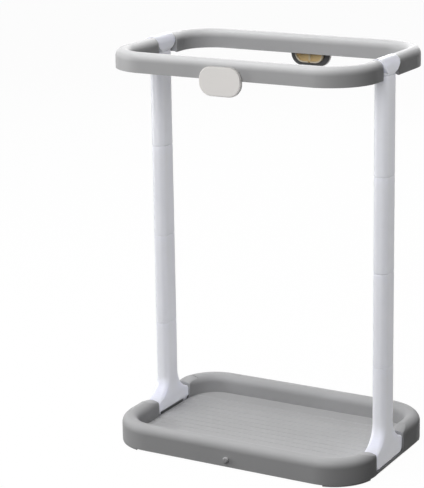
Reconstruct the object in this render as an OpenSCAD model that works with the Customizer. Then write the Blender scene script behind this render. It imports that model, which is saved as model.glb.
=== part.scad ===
// Free-standing bin bag holder: a tray, two plug-together posts and a ring
// that holds the mouth of a bag open. Millimetres, +Z up, +X to the right,
// -Y towards the person who stands in front of it.
// The stand is the same after half a turn about Z: what is built for the
// right or the front is turned by 180 degrees for the left or the back.

/* [Tray] */
// Outside length of the tray along X
tray_length = 400; // [360:1:440]
// Outside depth of the tray along Y
tray_depth = 270; // [250:1:300]
// Outside radius of the tray's corners, seen from above
tray_corner = 65; // [50:1:72]
// Height of the rim's crest above the ground
tray_height = 38; // [36:0.5:44]
// Width of the rim, which is rounded over its whole width
rim_width = 24; // [20:0.5:26]
// Thickness of the tray's walls
tray_wall = 2.6; // [2:0.1:3.2]
// Height of the floor's top above the ground
floor_top = 10; // [9:0.1:12]
// Thickness of the floor
floor_thick = 2.5; // [2:0.1:3]
// Distance between the grooves in the middle of the floor
groove_pitch = 14.5; // [12:0.5:16]
// Number of grooves on each side of the middle one that lie at that distance
groove_near = 3; // [2:1:4]
// Distance between the two outer grooves on each side
groove_wide = 19; // [16:0.5:22]
// Width of each groove at the floor's top
groove_width = 3.6; // [2:0.1:5]
// Depth of each groove
groove_depth = 0.8; // [0.4:0.1:1.2]
// Most distance between the stiffening webs under the floor
floor_pitch = 46; // [30:1:70]
// Gap under the straight sides, between the corner pads
skirt_lift = 2; // [1:0.5:2.5]
// Width of the stud that the catch hooks over
stud_width = 8.5; // [6:0.5:10]
// How far the stud stands out of the tray's face
stud_reach = 4; // [2:0.5:5]
// Height of the stud's middle above the ground
stud_height = 12.5; // [11:0.5:16]

/* [Feet] */
// Length of the foot's block along Y
foot_length = 91; // [80:1:100]
// Height of the foot's lower edge above the ground
foot_bottom = 5; // [4.5:0.5:6.5]
// Radius of the block's lower corners, seen from the side
foot_round = 10; // [6:0.5:12]
// Radius of the rounded lip at each end of the block
foot_lip = 5; // [3:0.5:7]
// Radius of the hollow flare between the lip and the post
foot_flare = 34; // [28:1:40]
// Height at which the flare meets the post
flare_top = 63; // [56:1:72]
// Edge radius of the block, which grows to the post's radius up the flare
foot_edge = 3; // [2:0.5:4]
// Height of the slot under the foot's inner face, above the floor
foot_slot = 4.4; // [2:0.2:6]
// Height of the foot's top, where the first tube plugs on
foot_top = 146; // [120:1:170]

/* [Posts] */
// Size of the post along X
post_width = 21; // [19:0.5:22]
// Size of the post along Y
post_depth = 35; // [30:0.5:40]
// Corner radius of the post
post_corner = 8; // [5:0.5:8.5]
// Length of the lower and the middle tube
tube_length = 135; // [100:1:180]
// Length of the upper tube
upper_length = 139; // [100:1:180]
// Wall of the tubes
tube_wall = 2.2; // [1.8:0.1:2.8]
// Length of the spigot that plugs into the next piece
spigot_length = 13; // [8:0.5:14]
// Wall of the spigot
spigot_wall = 2; // [1.5:0.1:2.5]
// Play between a spigot and its socket, on each side
spigot_play = 0.2; // [0.1:0.05:0.4]
// Height of the collar that carries the spigot
collar_height = 6; // [4:0.5:10]
// Bevel round the ends of the post's pieces
seam_bevel = 0.8; // [0.4:0.1:1.2]

/* [Ring] */
// How far the ring's outer face lies inside the tray's
ring_inset = 3; // [0:0.5:4]
// Outside radius of the ring's corners, seen from above
ring_corner = 67; // [50:1:72]
// Width of the ring's bar, which is rounded over its whole width
bar_width = 22; // [20:0.5:24]
// Height of the ring's bar
bar_height = 27; // [24:0.5:32]
// Wall of the ring's bar, which is hollow and open below
bar_wall = 2.6; // [2:0.1:3.2]
// Thickness of the stiffening webs inside the bar
web_thick = 1.6; // [1.2:0.1:2.5]
// Height of the stiffening webs below the bar's inner crest
web_height = 9; // [6:0.5:12]
// Most distance between two stiffening webs
web_pitch = 46; // [30:1:70]

/* [Heads] */
// Length of the head along Y, between the two ends of the ring
head_length = 50; // [48:0.5:60]
// Width of the head, which is rounded like the ring
head_width = 23; // [22:0.5:24]
// How far the head stands above the ring
head_proud = 1.5; // [0.5:0.1:2]
// How far the head's seam lies above the ring's lower edge
head_neck = 5; // [3:0.5:6]
// Height over which the head widens from the post to its full length
head_taper = 17; // [12:0.5:18]
// Length of the tongue that plugs into each end of the ring
tongue_length = 18; // [10:0.5:24]
// Play round the tongue, on each side
tongue_play = 0.3; // [0.2:0.05:0.5]
// Height of the tongue below its crest
tongue_height = 10; // [8:0.5:11]
// How far the wall under the tongue lies inside the ring's end
end_inset = 5; // [3:0.5:8]

/* [Catches] */
// Width of the catch's oval
catch_width = 63; // [54:1:70]
// Height of the catch's oval
catch_height = 40; // [36:1:44]
// Corner radius of the catch's oval
catch_corner = 18; // [14:0.5:18.5]
// How far the oval hangs below the ring
catch_drop = 21.5; // [18:0.5:22]
// Thickness of the oval's front cap
cap_thick = 3; // [2.5:0.1:4]
// How far the cap's edge reaches round the back
cap_skirt = 2; // [1:0.1:2]
// Wall of the cap's edge
cap_wall = 1.6; // [1.2:0.1:1.8]
// Play between the cap's edge and the back, on each side
cap_play = 0.2; // [0.2:0.05:0.4]
// Thickness of the oval's back
back_thick = 3.9; // [3.6:0.1:4.5]
// Gap between the catch's back and the ring
catch_gap = 0.4; // [0.3:0.05:0.6]
// Radius of the hinge pin
pin_radius = 0.9; // [0.8:0.05:1.0]
// Length of the hinge pin
pin_length = 27; // [22:0.5:28]
// Running play between the pin and the catch's knuckle
pin_play = 0.06; // [0.02:0.01:0.1]
// Radius of the knuckle and of the ring's two ears
knuckle_radius = 1.8; // [1.6:0.05:1.8]
// Length of the knuckle between the ears
knuckle_length = 18; // [12:0.5:20]
// Thickness of each ear
ear_thick = 3; // [2:0.5:4]
// Play beside the ears
ear_play = 0.4; // [0.3:0.05:0.6]
// Width of the pad's oval ridge on the catch's back
pad_width = 45; // [40:1:50]
// Height of the ridge's lower end above the catch's lower end
pad_rise = 5.5; // [4:0.5:8]
// Corner radius of the pad's ridge
pad_corner = 13; // [10:0.5:14]
// How far the ridge stands out of the catch's back
pad_reach = 4.5; // [3:0.5:6]
// Wall of the ridge
pad_wall = 2; // [1.5:0.1:2.5]
// Thickness of the pad's sheet inside the ridge
pad_sheet = 1; // [0.6:0.1:1.6]
// Width of the rib that parts the pad's two pockets
pad_rib = 3.5; // [2:0.5:5]
// Width of the notch in the ridge's lower end
pad_notch = 4; // [3:0.5:6]

/* [Hidden] */
$fn = 96;

// Colours
tray_grey = [0.50, 0.50, 0.51];
ring_grey = [0.62, 0.62, 0.62];
post_white = [0.88, 0.88, 0.92];
cap_grey = [0.80, 0.79, 0.77];
back_charcoal = [0.20, 0.20, 0.21];
pad_beige = [0.80, 0.70, 0.52];
pin_steel = [0.70, 0.71, 0.73];

// A small overlap that joins two solids of one piece
joint_overlap = 0.02;

// The ring lies inside the tray's outline, and each post over the rim's middle
ring_length = tray_length - 2 * ring_inset;
ring_depth = tray_depth - 2 * ring_inset;
bar_x = ring_length / 2 - bar_width / 2;
bar_y = ring_depth / 2 - bar_width / 2;
post_x = tray_length / 2 - rim_width / 2;
// Each post stands so close to the ring's corner that the head's tongue still
// lies in the straight part of the bar
post_offset = ring_depth / 2 - ring_corner - head_length / 2 - tongue_length;
post_y = -post_offset;
// Heights of the seams, from the foot to the head
seam_1 = foot_top;
seam_2 = seam_1 + tube_length;
seam_3 = seam_2 + tube_length;
seam_4 = seam_3 + upper_length;
ring_bottom = seam_4 - head_neck;
ring_top = ring_bottom + bar_height;
tongue_top = ring_top - bar_wall - tongue_play;
tongue_bottom = tongue_top - tongue_height;

// The tray's rim, whose outer wall reaches the ground at the corners only
rim_radius = rim_width / 2;
rim_mid_x = tray_length / 2 - rim_radius;
rim_mid_y = tray_depth / 2 - rim_radius;
rim_turn = tray_corner - rim_radius;
// The walls reach the ground from this angle off each side on
pad_angle = 12;
pad_inset = 0.4;
floor_bottom = floor_top - floor_thick;
sill_top = foot_bottom;
// The sill lies this far behind the tray's outer face
sill_inset = 0.3;
// The rim dips towards the notch for the foot over this length
dip_length = 26;
// Radius of the slope across the rim, and its angle
dip_radius = 24;
dip_angle = 10;
// Play between the foot's block and the notch
notch_play = 0.4;
notch_half = foot_length / 2 + notch_play;
notch_y = post_y;
// The upright tongue that the foot sits on
stand_length = 60;
stand_height = 20;
stand_play = 0.3;
floor_half_y = tray_depth / 2 - rim_width;
// The grooves end this far from the rim
groove_end = 4;
// Places of the floor's grooves on each side of the middle one
groove_edge = groove_near * groove_pitch;
groove_places = concat(
  [for (i = [1 : groove_near]) i * groove_pitch],
  [for (i = [1 : 2]) groove_edge + i * groove_wide]
);

// The foot's hollow
foot_wall = 2.4;
foot_roof = 30;
// Angle at which the lip goes over into the flare, so that both are tangent
lip_angle = acos((post_depth / 2 + foot_flare - foot_length / 2 + foot_lip) / (foot_flare + foot_lip));
lip_height = flare_top - (foot_flare + foot_lip) * sin(lip_angle);

// The catch's oval and its hinge
catch_mid = ring_bottom - catch_drop + catch_height / 2;
ring_face = -ring_depth / 2;
catch_back_y = ring_face - catch_gap;
pin_y = catch_back_y - knuckle_radius;
// The pin lies this far below the oval's top
pin_drop = 4.2;
pin_z = catch_mid + catch_height / 2 - pin_drop;
cap_back_y = catch_back_y - back_thick;
// The back's flange lies this far inside the oval's outline
flange_inset = 0.5;
// The back plate ends this far below the pin
back_cut = 1.6;
ear_inner = knuckle_length / 2 + ear_play;

// Height of the head's lower part, which has the post's outline
neck_height = 9;
// The arch starts this far inside the post's side faces
arch_step = 0.5;
// The head's curve is drawn with this many straight steps
taper_steps = 10;
// The tongues reach this far into the head
tongue_root = 5;

// Turns what it holds by half a turn about Z
module half_turn() {
  rotate([0, 0, 180]) children();
}

// A rectangle with round corners, about its middle
module round_rect(width, depth, radius) {
  square([width - 2 * radius, depth], center = true);
  square([width, depth - 2 * radius], center = true);
  for (sx = [-1, 1], sy = [-1, 1])
    translate([sx * (width / 2 - radius), sy * (depth / 2 - radius)]) circle(r = radius);
}

// A bar with round corners that narrows by a bevel over its height
module bevel_bar(width, depth, radius, bevel, height) {
  inset = bevel;
  rotate([90, 0, 0])
    linear_extrude(depth - 2 * radius, center = true)
      polygon([[-width / 2, 0], [width / 2, 0], [width / 2 - inset, height], [-width / 2 + inset, height]]);
  rotate([90, 0, 90])
    linear_extrude(width - 2 * radius, center = true)
      polygon([[-depth / 2, 0], [depth / 2, 0], [depth / 2 - inset, height], [-depth / 2 + inset, height]]);
  for (sx = [-1, 1], sy = [-1, 1])
    translate([sx * (width / 2 - radius), sy * (depth / 2 - radius), 0])
      cylinder(h = height, r1 = radius, r2 = radius - inset);
}

// A solid post with bevelled ends, from height low to height high
module post_bar(low, high, bevel_low, bevel_high) {
  start = low + bevel_low;
  stop = high - bevel_high;
  translate([0, 0, start]) linear_extrude(stop - start) round_rect(post_width, post_depth, post_corner);
  if (bevel_high > 0)
    translate([0, 0, stop]) bevel_bar(post_width, post_depth, post_corner, seam_bevel, bevel_high);
  if (bevel_low > 0)
    translate([0, 0, start]) mirror([0, 0, 1])
      bevel_bar(post_width, post_depth, post_corner, seam_bevel, bevel_low);
}

// The post's hollow, smaller than the post by a wall
module post_hollow(wall, low, high) {
  translate([0, 0, low]) linear_extrude(high - low)
    round_rect(post_width - 2 * wall, post_depth - 2 * wall, post_corner - wall);
}

// The spigot that stands on a piece's top and plugs into the next one
module spigot(at) {
  outer = tube_wall + spigot_play;
  inner = outer + spigot_wall;
  difference() {
    post_hollow(outer, at - joint_overlap, at + spigot_length);
    post_hollow(inner, at - 1, at + spigot_length + 1);
  }
}

// One tube of the post, with its socket below and its spigot above
module tube(low, high) {
  collar = tube_wall + spigot_play + spigot_wall;
  difference() {
    post_bar(low, high, seam_bevel, seam_bevel);
    post_hollow(tube_wall, low - 1, high - collar_height);
    post_hollow(collar, low, high + 1);
  }
  spigot(high);
}

// The outline of the inverted channel's outside: round above, straight below
module channel_outline(radius, low, top) {
  translate([0, top - radius]) circle(r = radius);
  translate([-radius, low]) square([2 * radius, top - radius - low]);
}

// The ring's bar in section, hollow and open below
module bar_section() {
  difference() {
    intersection() {
      channel_outline(bar_width / 2, 0, bar_height);
      translate([-bar_width, 0]) square([2 * bar_width, bar_height + 1]);
    }
    channel_outline(bar_width / 2 - bar_wall, -1, bar_height - bar_wall);
  }
}

// A web across the inside of the bar
module web_section() {
  intersection() {
    channel_outline(bar_width / 2 - bar_wall / 2, 0, bar_height - bar_wall / 2);
    translate([-bar_width, bar_height - bar_wall - web_height]) square([2 * bar_width, bar_height]);
  }
}

// The wall across the bar's end, under the tongue
module end_section() {
  translate([-bar_width / 2 + bar_wall / 2, 0])
    square([bar_width - bar_wall, tongue_bottom - tongue_play - ring_bottom]);
}

// A straight piece of the ring along +Y with its webs, from y = 0; the last
// stretch is kept free of webs for the tongue
module straight_bar(length, free) {
  rotate([90, 0, 180]) linear_extrude(length) bar_section();
  webbed = length - free;
  count = webbed > web_pitch / 4 ? ceil(webbed / web_pitch) : 0;
  if (count > 0)
    for (i = [1 : count])
      translate([0, (i - 0.5) * webbed / count - web_thick / 2, 0])
        rotate([90, 0, 180]) linear_extrude(web_thick) web_section();
  if (free > 0)
    translate([0, length - end_inset - web_thick, 0])
      rotate([90, 0, 180]) linear_extrude(web_thick) end_section();
}

// A quarter turn of the ring, from +X to +Y about its own middle
module corner_bar() {
  rotate_extrude(angle = 90) translate([ring_corner - bar_width / 2, 0]) bar_section();
}

// Half of the ring: from the right head round the front to the left head
module ring_half() {
  turn_x = ring_length / 2 - ring_corner;
  turn_y = ring_depth / 2 - ring_corner;
  right_end = post_y - head_length / 2;
  left_end = -post_y - head_length / 2;
  tongue_room = tongue_length + web_thick;
  translate([0, 0, ring_bottom]) {
    translate([bar_x, -turn_y, 0]) straight_bar(right_end + turn_y, tongue_room);
    translate([turn_x, -turn_y, 0]) rotate([0, 0, -90]) corner_bar();
    translate([turn_x, -bar_y, 0]) rotate([0, 0, 90]) straight_bar(2 * turn_x, 0);
    translate([-turn_x, -turn_y, 0]) rotate([0, 0, 180]) corner_bar();
    translate([-bar_x, -turn_y, 0]) straight_bar(left_end + turn_y, tongue_room);
  }
  for (side = [-1, 1]) translate([side * (ear_inner + ear_thick / 2), 0, 0]) catch_ear();
}

// An ear on the ring's face that holds the catch's hinge pin
module catch_ear() {
  difference() {
    union() {
      translate([0, pin_y, pin_z]) rotate([0, 90, 0]) cylinder(h = ear_thick, r = knuckle_radius, center = true);
      translate([-ear_thick / 2, pin_y, pin_z - knuckle_radius])
        cube([ear_thick, ring_face + 1 - pin_y, 2 * knuckle_radius]);
    }
    translate([0, pin_y, pin_z]) rotate([0, 90, 0])
      cylinder(h = ear_thick + 2, r = pin_radius + pin_play / 3, center = true);
  }
}

// The head that joins the two ends of the ring on top of the post
module head() {
  top = ring_top + head_proud;
  difference() {
    union() {
      intersection() {
        translate([post_x, post_y, 0]) rotate([90, 0, 0]) linear_extrude(head_length, center = true)
          head_arch(top);
        translate([post_x, post_y, 0]) rotate([90, 0, 90]) linear_extrude(2 * head_width, center = true)
          head_shield(top);
      }
      translate([post_x, post_y, 0]) post_bar(seam_4, seam_4 + neck_height, seam_bevel, 0);
    }
    translate([post_x, post_y, 0]) post_hollow(tube_wall, seam_4 - 1, seam_4 + spigot_length + 1);
  }
  for (side = [-1, 1]) head_tongue(side);
}

// The head seen from the front: an arch that widens out of the post
module head_arch(top) {
  half = head_width / 2;
  low = post_width / 2 - arch_step;
  translate([0, top - half]) circle(r = half);
  polygon([
    [-low, seam_4 + seam_bevel], [low, seam_4 + seam_bevel],
    [half, seam_4 + neck_height / 2], [half, top - half],
    [-half, top - half], [-half, seam_4 + neck_height / 2]
  ]);
}

// The head seen from the side: it springs from the post's round corners and
// reaches its full length in a curve
module head_shield(top) {
  low = post_depth / 2 - post_corner;
  high = head_length / 2;
  curve = [
    for (i = [0 : taper_steps])
      let (t = i / taper_steps)
        [high - (high - low) * pow(1 - t, 2), seam_4 + head_taper * t]
  ];
  polygon(concat(
    curve, [[high, top + 1], [-high, top + 1]],
    [for (i = [taper_steps : -1 : 0]) [-curve[i][0], curve[i][1]]]
  ));
}

// One of the two tongues that plug into the ring's ends; side is its way along Y
module head_tongue(side) {
  radius = bar_width / 2 - bar_wall - tongue_play;
  length = tongue_length + tongue_root;
  translate([bar_x, post_y + side * (head_length / 2 - tongue_root + length / 2), 0])
    rotate([90, 0, 0]) linear_extrude(length, center = true)
      intersection() {
        channel_outline(radius, tongue_bottom, tongue_top);
        translate([-bar_width, tongue_bottom]) square([2 * bar_width, tongue_height + 1]);
      }
}

// A point on the side outline of the foot: y, z and the edge radius there
function arc_points(mid_y, mid_z, radius, from, to, steps, edge_a, edge_b) = [
  for (i = [0 : steps])
    let (t = i / steps, a = from + (to - from) * t)
      [mid_y + radius * cos(a), mid_z + radius * sin(a), edge_a + (edge_b - edge_a) * t]
];

// The foot's outline on the +Y side, from the bottom up to the post: a round
// lower corner, the end face, a round lip and the hollow flare
function foot_side(top) =
  let (reach = foot_length / 2)
  concat(
    arc_points(reach - foot_round, foot_bottom + foot_round, foot_round, -90, 0, 6, foot_edge, foot_edge),
    arc_points(reach - foot_lip, lip_height, foot_lip, 0, lip_angle, 5, foot_edge, foot_edge),
    arc_points(post_depth / 2 + foot_flare, flare_top, foot_flare, lip_angle - 180, -180, 12, foot_edge, post_corner),
    [[post_depth / 2, top, post_corner]]
  );

function reversed(list) = [for (i = [len(list) - 1 : -1 : 0]) list[i]];

// The whole outline, counter-clockwise seen from +X
function foot_outline(top) = concat(
  foot_side(top),
  reversed([for (p = foot_side(top)) [-p[0], p[1], p[2]]])
);

// The outward direction at point i of an outline of points y, z
function outward(points, i) =
  let (
    n = len(points),
    a = points[(i + n - 1) % n],
    b = points[(i + 1) % n],
    dy = b[0] - a[0],
    dz = b[1] - a[1],
    size = norm([dy, dz])
  )
  [dz / size, -dy / size];

// A slab of the given width across X whose outline is rounded over its edges;
// the outline is equal on both sides of the middle
module rounded_slab(points, width, steps) {
  n = len(points);
  half = width / 2;
  // Rows run over the slab from its -X face to its +X face
  angles = concat([for (k = [0 : steps]) -90 + 90 * k / steps], [for (k = [0 : steps]) 90 * k / steps]);
  rows = len(angles);
  verts = [
    for (row = [0 : rows - 1], i = [0 : n - 1])
      let (
        p = points[i],
        edge = p[2],
        side = row <= steps ? -1 : 1,
        dir = outward(points, i),
        inset = edge * (1 - cos(angles[row]))
      )
      [side * (half - edge) + edge * sin(angles[row]), p[0] - dir[0] * inset, p[1] - dir[1] * inset]
  ];
  skin = [
    for (row = [0 : rows - 2], i = [0 : n - 1])
      let (
        j = (i + 1) % n,
        a = row * n + i,
        b = row * n + j,
        c = (row + 1) * n + j,
        d = (row + 1) * n + i
      )
      each [[a, c, b], [a, d, c]]
  ];
  // Each flat side is closed by level strips between the two mirrored halves
  cap_low = [for (i = [0 : n / 2 - 2]) [i, i + 1, n - 2 - i, n - 1 - i]];
  last = (rows - 1) * n;
  cap_high = [for (i = [0 : n / 2 - 2]) [last + n - 1 - i, last + n - 2 - i, last + i + 1, last + i]];
  polyhedron(verts, concat(skin, cap_low, cap_high), convexity = 6);
}

// Bevels the upper end of the foot's post for the seam
module top_bevel(at) {
  grow = 0.1;
  height = seam_bevel + grow;
  difference() {
    translate([-post_width, -post_depth, at - height]) cube([2 * post_width, 2 * post_depth, height + 1]);
    translate([0, 0, at - height])
      bevel_bar(post_width + 2 * grow, post_depth + 2 * grow, post_corner + grow, height, height + joint_overlap);
    translate([0, 0, at]) linear_extrude(2) round_rect(post_width - 4, post_depth - 4, post_corner - 2);
  }
}

// The foot with the lowest piece of the post, one moulding
module foot() {
  collar = tube_wall + spigot_play + spigot_wall;
  translate([post_x, post_y, 0]) {
    difference() {
      rounded_slab(foot_outline(foot_top + 2 * post_corner), post_width, 8);
      translate([-post_width, -post_depth, foot_top]) cube([2 * post_width, 2 * post_depth, post_depth]);
      top_bevel(foot_top);
      post_hollow(tube_wall, foot_roof - joint_overlap, foot_top - collar_height);
      post_hollow(collar, foot_roof, foot_top + 1);
      foot_hollow();
      // The slot under the inner face
      translate([-post_width / 2 - 1, -foot_length, -1])
        cube([1 + foot_wall + 1, 2 * foot_length, 1 + floor_top + foot_slot]);
    }
    spigot(foot_top);
  }
}

// The hollow under the foot's block, where the tray's tongue goes in
module foot_hollow() {
  length = foot_length - 2 * foot_round - foot_wall;
  translate([-post_width / 2 + foot_wall, -length / 2, 0])
    cube([post_width - 2 * foot_wall, length, foot_roof]);
}

// The rim in section, hollow and open below: the inner wall ends at the floor
module rim_profile(low) {
  difference() {
    channel_outline(rim_radius, low, tray_height);
    channel_outline(rim_radius - tray_wall, low - 1, tray_height - tray_wall);
    translate([-2 * rim_radius, low - 1]) square([2 * rim_radius, floor_bottom - low + 1]);
    translate([-2 * rim_radius, low - rim_width]) square([4 * rim_radius, rim_width]);
  }
}

// A corner of the rim
module rim_corner() {
  rotate_extrude(angle = 90) translate([rim_turn, 0]) rim_profile(skirt_lift);
}

// The corner's outer wall reaches the ground over its middle
module corner_pad() {
  translate([tray_length / 2 - tray_corner, tray_depth / 2 - tray_corner, 0])
    rotate([0, 0, pad_angle]) rotate_extrude(angle = 90 - 2 * pad_angle)
      translate([tray_corner - tray_wall + pad_inset, 0])
        square([tray_wall - 2 * pad_inset, skirt_lift + tray_wall]);
}

// The right half of the rim
module rim_half() {
  turn_x = tray_length / 2 - tray_corner;
  turn_y = tray_depth / 2 - tray_corner;
  translate([turn_x, turn_y, 0]) rim_corner();
  translate([turn_x, -turn_y, 0]) rotate([0, 0, -90]) rim_corner();
  translate([rim_mid_x, turn_y, 0]) rotate([90, 0, 0]) linear_extrude(2 * turn_y) rim_profile(skirt_lift);
  translate([-turn_x, -rim_mid_y, 0]) rotate([90, 0, 90]) mirror([1, 0, 0])
    linear_extrude(2 * turn_x) rim_profile(skirt_lift);
}

// Closes the hollow rim at a notch; side is 1 where the rim goes on along +Y
module rim_end(side) {
  inset = tray_wall / 2;
  start = notch_y + side * notch_half;
  translate([rim_mid_x, start + side * tray_wall / 2, 0]) rotate([90, 0, 0])
    linear_extrude(tray_wall, center = true)
      channel_outline(rim_radius - inset, skirt_lift, tray_height - inset);
  // Under the dip the crown is thick enough for what the dip takes off
  translate([rim_mid_x, start + side * dip_length / 4, 0]) rotate([90, 0, 0])
    linear_extrude(dip_length / 2, center = true)
      intersection() {
        translate([0, tray_height - rim_radius]) circle(r = rim_radius - inset);
        translate([-rim_width, tray_height - rim_radius]) square([2 * rim_width, rim_width]);
      }
}

// The gap in the rim that the foot stands in
module rim_notch() {
  translate([tray_length / 2 - rim_width - 1, notch_y - notch_half, -1])
    cube([rim_width + 2, 2 * notch_half, tray_height + 2]);
}

// What the dip beside a notch takes off the rim's crown: a slope that is
// flatter across than the crown, so that it also suits the start of a corner
module rim_dip(side) {
  reach = rim_radius + 1;
  start = notch_y + side * (notch_half + dip_length);
  translate([rim_mid_x, start, tray_height - dip_radius])
    mirror([0, side > 0 ? 0 : 1, 0]) rotate([90 + dip_angle, 0, 0])
      linear_extrude(dip_length + 6)
        difference() {
          translate([-reach, 0]) square([2 * reach, dip_radius + rim_radius]);
          circle(r = dip_radius);
        }
}

// The floor with its grooves
module tray_floor() {
  reach = rim_width - tray_wall / 2;
  difference() {
    translate([0, 0, floor_bottom]) linear_extrude(floor_thick)
      round_rect(tray_length - 2 * reach, tray_depth - 2 * reach, tray_corner - reach);
    floor_groove(0);
    for (y = groove_places) {
      floor_groove(y);
      floor_groove(-y);
    }
  }
  tray_webs();
}

// One groove along X with sloping sides, as long as the floor's round corners
// let it be
module floor_groove(y) {
  inset = max(0, abs(y) - (tray_depth / 2 - tray_corner));
  turn = tray_corner - rim_width;
  side = turn - sqrt(pow(turn, 2) - pow(inset, 2));
  length = tray_length - 2 * rim_width - 2 * side - 2 * groove_end;
  half = groove_width / 2;
  foot = groove_width / 6;
  translate([0, y, floor_top]) rotate([90, 0, 90]) linear_extrude(length, center = true)
    polygon([[-foot, -groove_depth], [foot, -groove_depth], [half, 0], [half, 1], [-half, 1], [-half, 0]]);
}

// The stiffening webs under the floor's straight part
module tray_webs() {
  reach = tray_length / 2 - tray_corner - web_thick;
  count = ceil(2 * reach / floor_pitch);
  for (i = [0 : count])
    translate([-reach + 2 * reach * i / count - web_thick / 2, -floor_half_y, skirt_lift])
      cube([web_thick, 2 * floor_half_y, floor_bottom - skirt_lift + joint_overlap]);
}

// The sill under the foot, with the tongue that the foot sits on
module tray_sill() {
  low = notch_y - notch_half - tray_wall / 2;
  length = 2 * notch_half + tray_wall;
  inner_x = tray_length / 2 - rim_width;
  hollow = post_width - 2 * foot_wall;
  tongue = hollow - 2 * stand_play;
  translate([inner_x - tray_wall / 2, low, skirt_lift])
    cube([rim_width + tray_wall / 2 - sill_inset, length, sill_top - skirt_lift]);
  translate([inner_x - tray_wall / 2, low, skirt_lift])
    cube([tray_wall + sill_inset, length, floor_top - skirt_lift]);
  translate([post_x, notch_y, sill_top - joint_overlap])
    difference() {
      translate([-tongue / 2, -stand_length / 2, 0]) cube([tongue, stand_length, stand_height]);
      translate([-tongue / 2 + tray_wall, -stand_length / 2 + tray_wall, -1])
        cube([tongue - 2 * tray_wall, stand_length - 2 * tray_wall, stand_height - tray_wall + 1]);
    }
}

// The stud on the tray's face that the catch hooks over
module catch_stud() {
  radius = stud_width / 2;
  round = min(2, stud_reach);
  translate([0, -tray_depth / 2 + 1, stud_height]) rotate([90, 0, 0]) rotate_extrude($fn = 32) {
    square([radius, stud_reach + 1 - round]);
    square([radius - round, stud_reach + 1]);
    translate([radius - round, stud_reach + 1 - round])
      intersection() {
        circle(r = round);
        square([round, round]);
      }
  }
}

// The catch's oval, seen from the front
module catch_oval(grow) {
  translate([0, catch_mid])
    round_rect(catch_width + 2 * grow, catch_height + 2 * grow, catch_corner + grow);
}

// Stands a drawing of x and z up in the plane of the ring's front face
module upright(y, thick) {
  translate([0, y, 0]) rotate([90, 0, 0]) linear_extrude(thick) children();
}

// The light front cap of the catch, with a rounded front edge and a low wall
// behind that reaches round the back
module catch_cap() {
  round = 1.4;
  rear = cap_back_y + cap_skirt;
  deep = cap_skirt + cap_thick;
  difference() {
    hull() {
      upright(rear, deep - round) catch_oval(0);
      upright(rear, deep - round * 0.4) catch_oval(-round * 0.25);
      upright(rear, deep) catch_oval(-round);
    }
    upright(rear + 1, cap_skirt + 1) catch_oval(-cap_wall);
  }
}

// The dark back of the catch, with the knuckle of its hinge
module catch_back() {
  difference() {
    union() {
      difference() {
        union() {
          upright(catch_back_y, back_thick - cap_skirt) catch_oval(-flange_inset);
          upright(catch_back_y - 1, back_thick - 1) catch_oval(-cap_wall - cap_play);
        }
        translate([-catch_width, cap_back_y - 1, pin_z - back_cut])
          cube([2 * catch_width, back_thick + 2, catch_height]);
        for (side = [-1, 1])
          translate([side * (ear_inner + ear_thick / 2), cap_back_y - 1, pin_z])
            translate([-ear_thick / 2 - ear_play, 0, -2 * knuckle_radius])
              cube([ear_thick + 2 * ear_play, back_thick + 2, catch_height]);
      }
      translate([0, pin_y, pin_z]) rotate([0, 90, 0])
        cylinder(h = knuckle_length, r = knuckle_radius, center = true);
      translate([-knuckle_length / 2, cap_back_y, pin_z - knuckle_radius - back_cut])
        cube([knuckle_length, pin_y - cap_back_y, knuckle_radius + back_cut]);
    }
    translate([0, pin_y, pin_z]) rotate([0, 90, 0])
      cylinder(h = knuckle_length + 2, r = pin_radius + pin_play, center = true);
  }
}

// The beige pad on the catch's back: two pockets inside an oval ridge
module catch_pad() {
  low = catch_mid - catch_height / 2 + pad_rise;
  high = ring_bottom - catch_gap * 2;
  height = 2 * (catch_mid - low);
  difference() {
    union() {
      upright(catch_back_y + pad_reach, pad_reach)
        intersection() {
          difference() {
            translate([0, catch_mid]) round_rect(pad_width, height, pad_corner);
            translate([0, catch_mid])
              round_rect(pad_width - 2 * pad_wall, height - 2 * pad_wall, pad_corner - pad_wall);
          }
          translate([-pad_width, low - 1]) square([2 * pad_width, high - low + 1]);
        }
      upright(catch_back_y + pad_sheet, pad_sheet)
        intersection() {
          translate([0, catch_mid]) round_rect(pad_width, height, pad_corner);
          translate([-pad_width, low - 1]) square([2 * pad_width, high - low + 1]);
        }
      translate([-pad_rib / 2, catch_back_y, low + pad_wall / 2])
        cube([pad_rib, pad_reach * 0.6, high - low - pad_wall / 2]);
    }
    translate([-pad_notch / 2, catch_back_y + pad_sheet, low - 1])
      cube([pad_notch, pad_reach, pad_wall + 1.5]);
  }
}

// The hinge pin of the catch
module catch_pin() {
  translate([0, pin_y, pin_z]) rotate([0, 90, 0]) cylinder(h = pin_length, r = pin_radius, center = true);
}

module base_tray() {
  color(tray_grey) {
    for (turn = [0, 180]) rotate([0, 0, turn]) {
      tray_sill();
      catch_stud();
      corner_pad();
      mirror([1, 0, 0]) corner_pad();
    }
    difference() {
      for (turn = [0, 180]) rotate([0, 0, turn]) {
        rim_half();
        rim_end(1);
        rim_end(-1);
      }
      for (turn = [0, 180]) rotate([0, 0, turn]) {
        rim_dip(1);
        rim_dip(-1);
        rim_notch();
      }
    }
    tray_floor();
  }
}

module foot_right() {
  color(post_white) foot();
}

module foot_left() {
  half_turn() foot_right();
}

module tube_right(low, high) {
  color(post_white) translate([post_x, post_y, 0]) tube(low, high);
}

module lower_tube_right() {
  tube_right(seam_1, seam_2);
}

module lower_tube_left() {
  half_turn() lower_tube_right();
}

module middle_tube_right() {
  tube_right(seam_2, seam_3);
}

module middle_tube_left() {
  half_turn() middle_tube_right();
}

module upper_tube_right() {
  tube_right(seam_3, seam_4);
}

module upper_tube_left() {
  half_turn() upper_tube_right();
}

module head_right() {
  color(post_white) head();
}

module head_left() {
  half_turn() head_right();
}

module ring_front() {
  color(ring_grey) ring_half();
}

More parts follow.
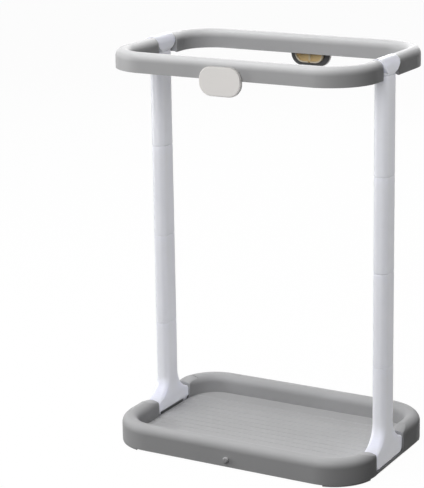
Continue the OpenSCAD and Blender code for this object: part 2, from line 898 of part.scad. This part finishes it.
module ring_rear() {
  half_turn() ring_front();
}

module catch_cap_front() {
  color(cap_grey) catch_cap();
}

module catch_cap_rear() {
  half_turn() catch_cap_front();
}

module catch_back_front() {
  color(back_charcoal) catch_back();
}

module catch_back_rear() {
  half_turn() catch_back_front();
}

module catch_pad_front() {
  color(pad_beige) catch_pad();
}

module catch_pad_rear() {
  half_turn() catch_pad_front();
}

module catch_pin_front() {
  color(pin_steel) catch_pin();
}

module catch_pin_rear() {
  half_turn() catch_pin_front();
}

base_tray();
foot_left();
foot_right();
lower_tube_left();
lower_tube_right();
middle_tube_left();
middle_tube_right();
upper_tube_left();
upper_tube_right();
head_left();
head_right();
ring_front();
ring_rear();
catch_cap_front();
catch_cap_rear();
catch_back_front();
catch_back_rear();
catch_pad_front();
catch_pad_rear();
catch_pin_front();
catch_pin_rear();
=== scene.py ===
# %% [markdown]
# # A free-standing bin bag holder
#
# The object is a household stand: a grey tray on the floor, two white posts that plug together from
# short tubes, and a grey ring on top of them with two oval catches that clamp. The shapes come from a
# CAD model, so this lesson is about the looks: how to match a product photograph's camera, its soft
# light and its moulded plastics with procedural materials.

# %% Load the frame
import math

import bpy
from mathutils import Matrix, Vector


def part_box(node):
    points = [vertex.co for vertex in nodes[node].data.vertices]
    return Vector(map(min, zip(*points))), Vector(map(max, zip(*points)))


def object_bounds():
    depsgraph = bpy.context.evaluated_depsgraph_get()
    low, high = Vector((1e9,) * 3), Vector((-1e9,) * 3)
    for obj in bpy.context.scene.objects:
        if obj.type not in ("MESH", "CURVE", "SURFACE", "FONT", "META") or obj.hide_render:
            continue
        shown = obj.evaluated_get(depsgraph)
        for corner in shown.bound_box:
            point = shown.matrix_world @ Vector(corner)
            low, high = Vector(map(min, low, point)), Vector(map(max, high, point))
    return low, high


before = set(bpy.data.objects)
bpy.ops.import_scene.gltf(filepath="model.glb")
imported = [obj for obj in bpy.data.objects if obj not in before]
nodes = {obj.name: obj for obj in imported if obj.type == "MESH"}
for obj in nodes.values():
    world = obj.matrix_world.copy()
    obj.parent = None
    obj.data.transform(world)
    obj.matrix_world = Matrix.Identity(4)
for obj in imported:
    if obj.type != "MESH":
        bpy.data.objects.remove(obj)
cad_low, cad_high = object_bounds()
print(f"{len(nodes)} CAD nodes, {(cad_high - cad_low).z * 1000:.0f} mm tall")

# %% [markdown]
# ## The camera
#
# A product shot of a tall stand is taken from a distance with a long lens, so that the posts stay
# nearly parallel. The place and the lens were solved from edges in the photograph: the seams of the
# posts, the straight sides of the tray and the ring. The frame is a cut-out of a wider picture, and a
# small lens shift puts the object where it stands in that frame.

# %% Camera
PHOTO_WIDTH = 424
PHOTO_HEIGHT = 488
FOCAL_PX = 1799.5
CENTRE_PX = (250.0, 190.0)
CAMERA_PLACE = Vector((1.15651, -2.19025, 0.96619))
CAMERA_TURN = math.radians(28.458)
CAMERA_DOWN = math.radians(13.501)
CAMERA_ROLL = math.radians(-0.632)
SENSOR = 36.0
CLIP_NEAR = 0.05
CLIP_FAR = 50.0

camera_data = bpy.data.cameras.new("camera")
camera_data.sensor_fit = "HORIZONTAL"
camera_data.sensor_width = SENSOR
camera_data.lens = SENSOR * FOCAL_PX / PHOTO_WIDTH
camera_data.shift_x = (PHOTO_WIDTH / 2 - CENTRE_PX[0]) / PHOTO_WIDTH
camera_data.shift_y = (CENTRE_PX[1] - PHOTO_HEIGHT / 2) / PHOTO_WIDTH
camera_data.clip_start = CLIP_NEAR
camera_data.clip_end = CLIP_FAR

forward = Vector((
    -math.sin(CAMERA_TURN) * math.cos(CAMERA_DOWN),
    math.cos(CAMERA_TURN) * math.cos(CAMERA_DOWN),
    -math.sin(CAMERA_DOWN),
))
level_right = Vector((math.cos(CAMERA_TURN), math.sin(CAMERA_TURN), 0.0))
level_up = level_right.cross(forward)
right = level_right * math.cos(CAMERA_ROLL) + level_up * math.sin(CAMERA_ROLL)
up = level_up * math.cos(CAMERA_ROLL) - level_right * math.sin(CAMERA_ROLL)

camera = bpy.data.objects.new("camera", camera_data)
bpy.context.scene.collection.objects.link(camera)
turn = Matrix((right, up, -forward)).transposed().to_4x4()
camera.matrix_world = Matrix.Translation(CAMERA_PLACE) @ turn
bpy.context.scene.camera = camera
distance = (CAMERA_PLACE - (cad_low + cad_high) / 2).length
print(f"lens {camera_data.lens:.0f} mm, {distance:.2f} m away")

# %% [markdown]
# ## The light
#
# The photograph has broad soft light, strongest from above, weaker from the front and the left: the
# crowns of the rim and the ring are bright, their front faces are a middle grey and the faces on the
# right are nearly dark. Broad area lamps give that softness. One behind keeps the back readable.

# %% Lamps
LAMP_TARGET = Vector((0.0, 0.0, 0.30))
TOP_PLACE = (-0.50, -0.20, 2.50)
TOP_SIZE = 1.6


def soft_lamp(name, place, width, height, power):
    """A rectangular area lamp that faces the stand."""
    data = bpy.data.lights.new(name, "AREA")
    data.shape = "RECTANGLE"
    data.size = width
    data.size_y = height
    data.energy = power
    lamp = bpy.data.objects.new(name, data)
    bpy.context.scene.collection.objects.link(lamp)
    lamp.location = place
    aim = LAMP_TARGET - Vector(place)
    lamp.rotation_euler = aim.to_track_quat("-Z", "Y").to_euler()
    return lamp


soft_lamp("top_lamp", TOP_PLACE, width=TOP_SIZE, height=TOP_SIZE, power=14.0)
soft_lamp("key_lamp", (0.30, -1.70, 1.30), width=1.2, height=0.8, power=12.7)
soft_lamp("left_lamp", (-1.85, -0.80, 0.55), width=1.0, height=0.8, power=14.5)
soft_lamp("back_lamp", (-0.80, 2.20, 1.40), width=1.4, height=1.4, power=12.0)
print(f"{len(bpy.data.lights)} lamps, aimed {LAMP_TARGET.z * 1000:.0f} mm above the floor")

# %% [markdown]
# ## Lamps for some pieces only
#
# In the photograph the white pieces stay pale all round, while the grey pieces beside them are dark
# on the same side and bright on top. A retoucher does that with a mask. Here a few lamps shine on
# one group of pieces only: Blender's light linking gives a lamp the list of objects it may light.

# %% Groups of pieces
def group(name, starts):
    """A collection of the CAD nodes whose names start with one of the given words."""
    pieces = bpy.data.collections.new(name)
    for node in nodes:
        if node.startswith(starts):
            pieces.objects.link(nodes[node])
    return pieces


white_pieces = group("white_pieces", ("foot", "lower", "middle", "upper", "head", "catch_cap"))
grey_pieces = group("grey_pieces", ("base_tray", "ring"))

# %% [markdown]
# ## The linked lamps
#
# The grey pieces get a second lamp from above, which makes their crowns bright. The white pieces get
# four large weak lamps in a ring, so that no side of a post turns dark.

# %% Linked lamps
FILL_COUNT = 4
FILL_START = 28
FILL_DISTANCE = 2.4
FILL_HEIGHT = 0.7
FILL_SIZE = 1.8
FILL_POWER = 23.0

grey_top = soft_lamp("grey_top_lamp", TOP_PLACE, width=TOP_SIZE, height=TOP_SIZE, power=50.0)
grey_top.light_linking.receiver_collection = grey_pieces
for index in range(FILL_COUNT):
    round_it = math.radians(FILL_START + 360 / FILL_COUNT * index)
    out_x = math.sin(round_it) * FILL_DISTANCE
    out_y = -math.cos(round_it) * FILL_DISTANCE
    place = (out_x, out_y, FILL_HEIGHT)
    name = f"white_fill_{index}"
    fill = soft_lamp(name, place, width=FILL_SIZE, height=FILL_SIZE, power=FILL_POWER)
    fill.light_linking.receiver_collection = white_pieces

# %% [markdown]
# ## Node helpers
#
# Every finish here is a moulded plastic, rubber or wire. They share one recipe: a base colour that
# drifts a little over the surface, a roughness that varies as a hand or a mould leaves it, and a
# grain so fine that it only breaks up the highlight. A helper keeps each finish short. A bevel node
# rounds the light over the sharp edges, as no moulding has a truly sharp one.

# %% Material helpers
NOISE_LOW = 0.3
NOISE_HIGH = 0.7
DRIFT_SCALE = 9.0
WEAR_SCALE = 38.0
GRAIN_STRENGTH = 0.25
BEVEL_SAMPLES = 4


def new_material(name):
    """An empty material with its output and a Principled shader."""
    material = bpy.data.materials.new(name)
    material.use_nodes = True
    tree = material.node_tree
    tree.nodes.clear()
    output = tree.nodes.new("ShaderNodeOutputMaterial")
    shader = tree.nodes.new("ShaderNodeBsdfPrincipled")
    tree.links.new(shader.outputs["BSDF"], output.inputs["Surface"])
    return material, tree, shader


def noise(tree, scale, detail=2.0, roughness=0.5):
    """Noise in the object's own coordinates, so that it stays with the piece."""
    place = tree.nodes.new("ShaderNodeTexCoord")
    texture = tree.nodes.new("ShaderNodeTexNoise")
    texture.inputs["Scale"].default_value = scale
    texture.inputs["Detail"].default_value = detail
    texture.inputs["Roughness"].default_value = roughness
    tree.links.new(place.outputs["Object"], texture.inputs["Vector"])
    return texture.outputs["Fac"]


def spread(tree, value, low, high):
    """Maps the noise's useful middle to the range from low to high."""
    node = tree.nodes.new("ShaderNodeMapRange")
    node.inputs["From Min"].default_value = NOISE_LOW
    node.inputs["From Max"].default_value = NOISE_HIGH
    node.inputs["To Min"].default_value = low
    node.inputs["To Max"].default_value = high
    tree.links.new(value, node.inputs["Value"])
    return node.outputs["Result"]


def moulded(name, colour, drift, rough, rough_drift, grain_scale, grain_depth, edge=0.0004):
    """A moulded finish: drifting colour and roughness, a fine grain and softened edges."""
    material, tree, shader = new_material(name)
    mix = tree.nodes.new("ShaderNodeMix")
    mix.data_type = "RGBA"
    mix.inputs["A"].default_value = (*[c * (1 - drift) for c in colour], 1)
    mix.inputs["B"].default_value = (*[min(1, c * (1 + drift)) for c in colour], 1)
    tree.links.new(spread(tree, noise(tree, DRIFT_SCALE, 3.0), 0.0, 1.0), mix.inputs["Factor"])
    tree.links.new(mix.outputs["Result"], shader.inputs["Base Color"])
    wear = noise(tree, WEAR_SCALE, 4.0, 0.6)
    uneven = spread(tree, wear, rough - rough_drift, rough + rough_drift)
    tree.links.new(uneven, shader.inputs["Roughness"])
    bevel = tree.nodes.new("ShaderNodeBevel")
    bevel.samples = BEVEL_SAMPLES
    bevel.inputs["Radius"].default_value = edge
    bump = tree.nodes.new("ShaderNodeBump")
    bump.inputs["Strength"].default_value = GRAIN_STRENGTH
    bump.inputs["Distance"].default_value = grain_depth
    tree.links.new(noise(tree, grain_scale, 2.0), bump.inputs["Height"])
    tree.links.new(bevel.outputs["Normal"], bump.inputs["Normal"])
    tree.links.new(bump.outputs["Normal"], shader.inputs["Normal"])
    return material, tree, shader


def dress(material, *names):
    """Gives the named CAD nodes their finish."""
    for name in names:
        for slot in nodes[name].material_slots:
            slot.material = material
    print(f"{material.name} on {len(names)} nodes")


print(f"colour drifts over {1000 / DRIFT_SCALE:.0f} mm, gloss over {1000 / WEAR_SCALE:.0f} mm")

# %% [markdown]
# ## The tray
#
# The tray is satin grey polypropylene. Its floor and rim share one moulding, so one material covers
# both, and the grooves and the rounded crown do the rest with light alone.

# %% Tray finish
TRAY_COLOUR = (0.400, 0.400, 0.405)
TRAY_SHINE = 0.06

tray_plastic, _, tray_shader = moulded(
    "tray_plastic", TRAY_COLOUR, drift=0.03, rough=0.42, rough_drift=0.05,
    grain_scale=900.0, grain_depth=0.0003,
)
tray_shader.inputs["Specular IOR Level"].default_value = TRAY_SHINE
dress(tray_plastic, "base_tray")

# %% [markdown]
# ## The ring
#
# The ring is the same kind of plastic, a shade lighter. Its channel is open below, and the material
# covers the inside too.

# %% Ring finish
RING_COLOUR = (0.480, 0.480, 0.485)
RING_SHINE = 0.15

ring_plastic, _, ring_shader = moulded(
    "ring_plastic", RING_COLOUR, drift=0.02, rough=0.40, rough_drift=0.05,
    grain_scale=900.0, grain_depth=0.0003,
)
ring_shader.inputs["Specular IOR Level"].default_value = RING_SHINE
dress(ring_plastic, "ring_front", "ring_rear")

# %% [markdown]
# ## The posts
#
# The posts, feet and heads are white plastic with a smoother skin. Thin white walls let a little
# light through, which keeps their shaded sides much paler than the grey parts' shaded sides.
# Subsurface scattering does that.

# %% Post finish
POST_COLOUR = (0.805, 0.817, 0.920)
SCATTER_DEPTH = 0.005

post_plastic, _, post_shader = moulded(
    "post_plastic", POST_COLOUR, drift=0.01, rough=0.32, rough_drift=0.04,
    grain_scale=700.0, grain_depth=0.0002,
)
post_shader.inputs["Subsurface Weight"].default_value = 1.0
post_shader.inputs["Subsurface Radius"].default_value = (1.0, 1.0, 1.0)
post_shader.inputs["Subsurface Scale"].default_value = SCATTER_DEPTH
for piece in ("foot", "lower_tube", "middle_tube", "upper_tube", "head"):
    dress(post_plastic, f"{piece}_left", f"{piece}_right")

# %% [markdown]
# ## The catches
#
# Each catch is a light oval cap on a charcoal back. The pad behind it is a beige rubber that grips,
# and the hinge pin is plain steel wire. The cap has a duller skin than the posts, so that it doesn't
# burn out where it faces a lamp.

# %% Catch finishes
CAP_COLOUR = (0.650, 0.633, 0.615)
CAP_SHINE = 0.20
BACK_COLOUR = (0.065, 0.065, 0.067)
PAD_COLOUR = (0.950, 0.720, 0.370)
RIDGE_COLOUR = (0.930, 0.830, 0.640)
PIN_COLOUR = (0.600, 0.600, 0.620)

cap_plastic, _, cap_shader = moulded(
    "cap_plastic", CAP_COLOUR, drift=0.015, rough=0.46, rough_drift=0.04,
    grain_scale=800.0, grain_depth=0.0002,
)
cap_shader.inputs["Specular IOR Level"].default_value = CAP_SHINE
dress(cap_plastic, "catch_cap_front", "catch_cap_rear")
catch_plastic, _, _ = moulded(
    "catch_plastic", BACK_COLOUR, drift=0.05, rough=0.45, rough_drift=0.06,
    grain_scale=800.0, grain_depth=0.0003,
)
dress(catch_plastic, "catch_back_front", "catch_back_rear")
pad_rubber, pad_tree, pad_shader = moulded(
    "pad_rubber", PAD_COLOUR, drift=0.05, rough=0.60, rough_drift=0.06,
    grain_scale=600.0, grain_depth=0.0004,
)
dress(pad_rubber, "catch_pad_front", "catch_pad_rear")
pin_steel, _, pin_shader = moulded(
    "pin_steel", PIN_COLOUR, drift=0.04, rough=0.30, rough_drift=0.08,
    grain_scale=1500.0, grain_depth=0.0001, edge=0.0001,
)
pin_shader.inputs["Metallic"].default_value = 1.0
dress(pin_steel, "catch_pin_front", "catch_pin_rear")

# %% [markdown]
# ## The pad's pale ridge and shaded pockets
#
# The pad is beige rubber. Its two pockets are darkened with painted shade, so the ridge round them
# is paler. The colour changes with the depth of the pad, measured in the piece's own coordinates.

# %% Pad depth
pad_low, pad_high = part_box("catch_pad_rear")
POCKET_FROM_BACK = 0.0012
RIDGE_FROM_FRONT = 0.0008
sheet_y = pad_high[1] - POCKET_FROM_BACK
ridge_y = pad_low[1] + RIDGE_FROM_FRONT

pad_place = pad_tree.nodes.new("ShaderNodeTexCoord")
pad_axes = pad_tree.nodes.new("ShaderNodeSeparateXYZ")
pad_depth = pad_tree.nodes.new("ShaderNodeMath")
pad_depth.operation = "ABSOLUTE"
# Painted shade: darker tan down in the recessed pockets, paler beige up on the raised ridge.
pocket_shade_ramp = pad_tree.nodes.new("ShaderNodeMapRange")
pocket_shade_ramp.inputs["From Min"].default_value = sheet_y
pocket_shade_ramp.inputs["From Max"].default_value = ridge_y
pocket_shade_mix = pad_tree.nodes.new("ShaderNodeMix")
pocket_shade_mix.data_type = "RGBA"
pocket_shade_mix.inputs["B"].default_value = (*RIDGE_COLOUR, 1)
pad_base = pad_shader.inputs["Base Color"].links[0].from_socket
pad_tree.links.new(pad_place.outputs["Object"], pad_axes.inputs["Vector"])
pad_tree.links.new(pad_axes.outputs["Y"], pad_depth.inputs[0])
pad_tree.links.new(pad_depth.outputs["Value"], pocket_shade_ramp.inputs["Value"])
pad_tree.links.new(pocket_shade_ramp.outputs["Result"], pocket_shade_mix.inputs["Factor"])
pad_tree.links.new(pad_base, pocket_shade_mix.inputs["A"])
pad_tree.links.new(pocket_shade_mix.outputs["Result"], pad_shader.inputs["Base Color"])
print(f"pad from {sheet_y * 1000:.1f} mm at the sheet to {ridge_y * 1000:.1f} mm at the ridge")

# %% [markdown]
# ## Smooth shading
#
# CAD meshes come in with flat faces. Smooth shading below a small angle makes the crowns and corners
# look round and keeps the real edges, and it moves no vertex.

# %% Shade smooth
SMOOTH_BELOW = math.radians(28)


def shade_smooth(thing):
    """Smooth shading, with each edge that is sharper than the limit left crisp."""
    thing.data.shade_smooth()
    thing.data.set_sharp_from_angle(angle=SMOOTH_BELOW)


for name in nodes:
    shade_smooth(nodes[name])
print("smooth shading on", len(nodes), "nodes")

# %% [markdown]
# ## The floor and the background
#
# The photograph is a cut-out on white. The floor is a plain pale sheet that keeps the object's soft
# shadow. To the camera, and in reflections, it and the world are white; towards the object the world
# is dim, because the shaded faces in the photograph are nearly dark. The floor joins the grey pieces'
# lamp, which brings its unshaded part to the same white as the world.

# %% Floor and world
FLOOR_COLOUR = (0.92, 0.92, 0.92)
FLOOR_BOUNCE = (0.05, 0.05, 0.05)
WORLD_FILL = 0.065
SHADOW_SHARE = 0.03
FLOOR_HALF = 6.0
FLOOR_DROP = 0.0003


def seen_directly(tree):
    """1 for camera, mirror and glass rays, and 0 for the rays that light the object."""
    path = tree.nodes.new("ShaderNodeLightPath")
    first = tree.nodes.new("ShaderNodeMath")
    first.operation = "MAXIMUM"
    tree.links.new(path.outputs["Is Camera Ray"], first.inputs[0])
    tree.links.new(path.outputs["Is Glossy Ray"], first.inputs[1])
    second = tree.nodes.new("ShaderNodeMath")
    second.operation = "MAXIMUM"
    tree.links.new(first.outputs["Value"], second.inputs[0])
    tree.links.new(path.outputs["Is Transmission Ray"], second.inputs[1])
    return second.outputs["Value"]


def white_world():
    """White where it is looked at, dim where it lights."""
    world = bpy.data.worlds.new("studio")
    bpy.context.scene.world = world
    world.use_nodes = True
    tree = world.node_tree
    tree.nodes.clear()
    output = tree.nodes.new("ShaderNodeOutputWorld")
    background = tree.nodes.new("ShaderNodeBackground")
    background.inputs["Color"].default_value = (1.0, 1.0, 1.0, 1.0)
    strength = tree.nodes.new("ShaderNodeMapRange")
    strength.inputs["To Min"].default_value = WORLD_FILL
    strength.inputs["To Max"].default_value = 1.0
    tree.links.new(seen_directly(tree), strength.inputs["Value"])
    tree.links.new(strength.outputs["Result"], background.inputs["Strength"])
    tree.links.new(background.outputs["Background"], output.inputs["Surface"])


def pale_floor():
    """A wide sheet just under the stand."""
    mesh = bpy.data.meshes.new("floor")
    low, high = -FLOOR_HALF, FLOOR_HALF
    corners = [(x, y, -FLOOR_DROP) for x, y in ((low, low), (high, low), (high, high), (low, high))]
    mesh.from_pydata(corners, [], [(0, 1, 2, 3)])
    floor = bpy.data.objects.new("floor", mesh)
    bpy.context.scene.collection.objects.link(floor)
    material = bpy.data.materials.new("floor")
    material.use_nodes = True
    tree = material.node_tree
    tree.nodes.clear()
    output = tree.nodes.new("ShaderNodeOutputMaterial")
    seen = seen_directly(tree)
    colour = tree.nodes.new("ShaderNodeMix")
    colour.data_type = "RGBA"
    colour.inputs["A"].default_value = (*FLOOR_BOUNCE, 1)
    colour.inputs["B"].default_value = (*FLOOR_COLOUR, 1)
    tree.links.new(seen, colour.inputs["Factor"])
    diffuse = tree.nodes.new("ShaderNodeBsdfDiffuse")
    tree.links.new(colour.outputs["Result"], diffuse.inputs["Color"])
    white = tree.nodes.new("ShaderNodeEmission")
    white.inputs["Color"].default_value = (1, 1, 1, 1)
    share = tree.nodes.new("ShaderNodeMath")
    share.operation = "MULTIPLY"
    share.inputs[1].default_value = 1 - SHADOW_SHARE
    tree.links.new(seen, share.inputs[0])
    mix = tree.nodes.new("ShaderNodeMixShader")
    tree.links.new(share.outputs["Value"], mix.inputs["Fac"])
    tree.links.new(diffuse.outputs["BSDF"], mix.inputs[1])
    tree.links.new(white.outputs["Emission"], mix.inputs[2])
    tree.links.new(mix.outputs["Shader"], output.inputs["Surface"])
    mesh.materials.append(material)
    return floor


white_world()
floor = pale_floor()
grey_pieces.objects.link(floor)
bpy.context.scene.view_settings.view_transform = "Standard"
print("white world and pale floor")
